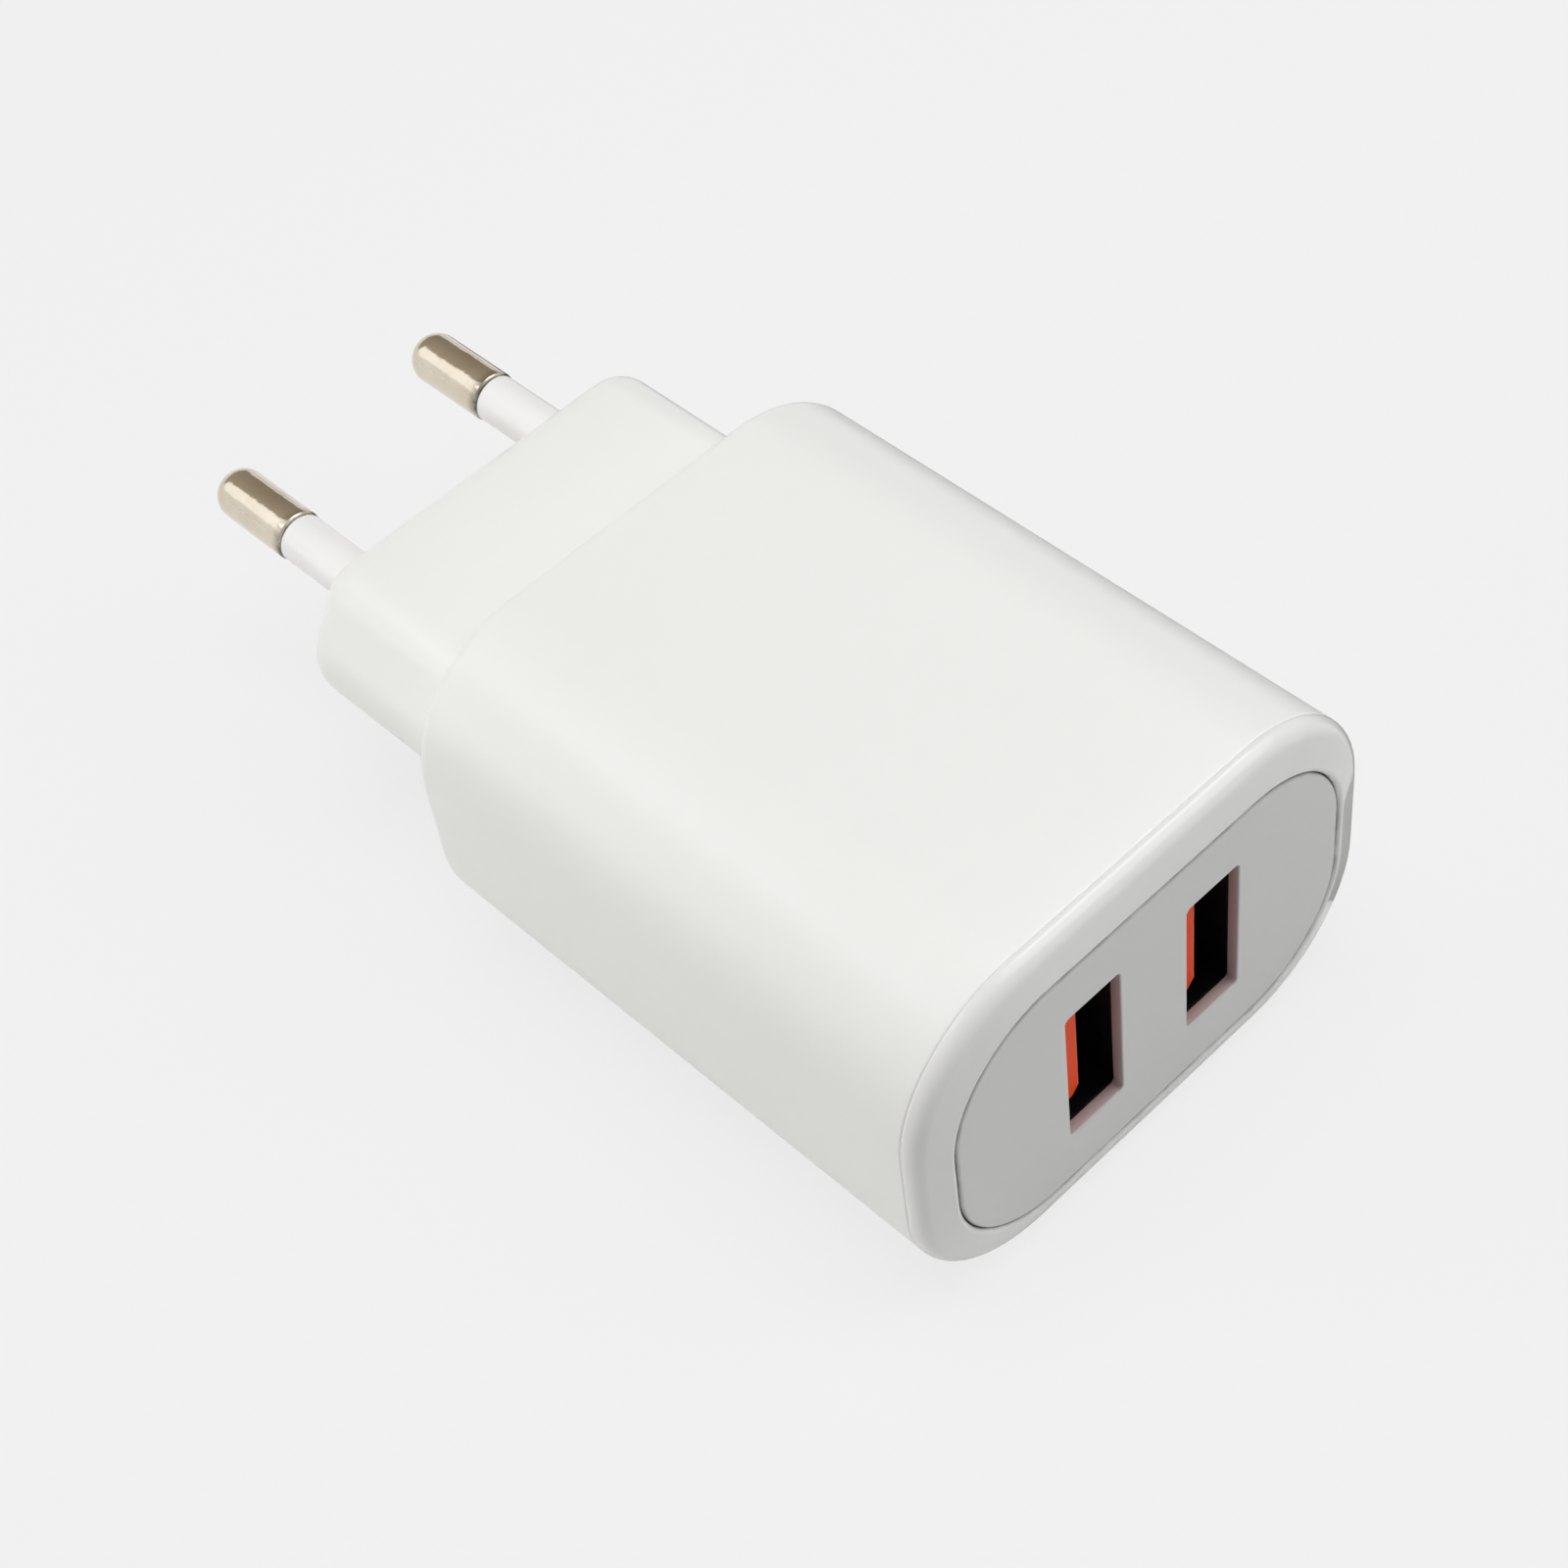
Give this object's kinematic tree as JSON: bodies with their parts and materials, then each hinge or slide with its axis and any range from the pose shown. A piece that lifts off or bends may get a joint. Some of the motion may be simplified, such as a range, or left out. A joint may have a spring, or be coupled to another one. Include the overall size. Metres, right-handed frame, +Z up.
{
  "type": "usb wall charger",
  "caption": "Compact wall charger: rounded white plastic body, mains plug section with round pins behind, upright USB-A ports in an inset front plate.",
  "frame": {"origin": "middle of the charger's length and width, on the surface that its broad face lies on", "axes": "+Y from the USB ports towards the mains pins, +Z up through the broad faces, +X to the right seen from the ports"},
  "size_m": [0.041, 0.0826, 0.027],
  "materials": {
    "satin_white": "satin moulded",
    "gloss_white": "polished",
    "plate_white": "satin moulded",
    "sleeve_white": "smooth",
    "nickel_plate": "nickel plated",
    "brass_strip": "stamped",
    "dark_shell": "dark plated",
    "orange_plastic": "moulded",
    "gold_plate": "gold flashed",
    "board_green": "solder mask",
    "sheet_cream": "smooth sheet",
    "ferrite": "ground",
    "black_plastic": "moulded",
    "yellow_tape": "polyester tape",
    "can_aluminium": "drawn can",
    "blue_coating": "dipped coating",
    "brown_plastic": "moulded"
  },
  "bodies": {
    "charger": {"housing": "satin_white", "front_bezel": "gloss_white", "faceplate": "plate_white", "plug_block": "satin_white", "pin_left": "nickel_plate", "pin_right": "nickel_plate", "pin_sleeve_left": "sleeve_white", "pin_sleeve_right": "sleeve_white", "pin_contact_left": "brass_strip", "pin_contact_right": "brass_strip", "usb_shell_left": "dark_shell", "usb_shell_right": "dark_shell", "usb_tongue_left": "orange_plastic", "usb_tongue_right": "orange_plastic", "main_board": "board_green", "isolation_barrier": "sheet_cream", "transformer_core_left": "ferrite", "transformer_core_right": "ferrite", "transformer_bobbin": "black_plastic", "transformer_winding": "yellow_tape", "bulk_capacitor_front": "black_plastic", "bulk_capacitor_rear": "black_plastic", "output_capacitor_left": "can_aluminium", "output_capacitor_right": "can_aluminium", "safety_capacitor": "blue_coating", "optocoupler": "black_plastic", "input_inductor": "ferrite", "fuse": "brown_plastic", "bridge_rectifier": "black_plastic", "port_controller": "black_plastic", "synchronous_rectifier": "black_plastic", "switching_controller": "black_plastic"},
    "left_contact_row": {"usb_contact_left_1": "gold_plate", "usb_contact_left_2": "gold_plate", "usb_contact_left_3": "gold_plate", "usb_contact_left_4": "gold_plate"},
    "right_contact_row": {"usb_contact_right_1": "gold_plate", "usb_contact_right_2": "gold_plate", "usb_contact_right_3": "gold_plate", "usb_contact_right_4": "gold_plate"}
  },
  "joints": [
    {"name": "left_contacts_flex", "type": "hinge", "parent": "charger", "child": "left_contact_row", "pos_m": [-0.00595, -0.03055, 0.0135], "axis": [0, 0, -1], "range_deg": [0, 4], "stiffness_Nm_per_rad": 0.05},
    {"name": "right_contacts_flex", "type": "hinge", "parent": "charger", "child": "right_contact_row", "pos_m": [0.00505, -0.03055, 0.0135], "axis": [0, 0, -1], "range_deg": [0, 4], "stiffness_Nm_per_rad": 0.05}
  ]
}
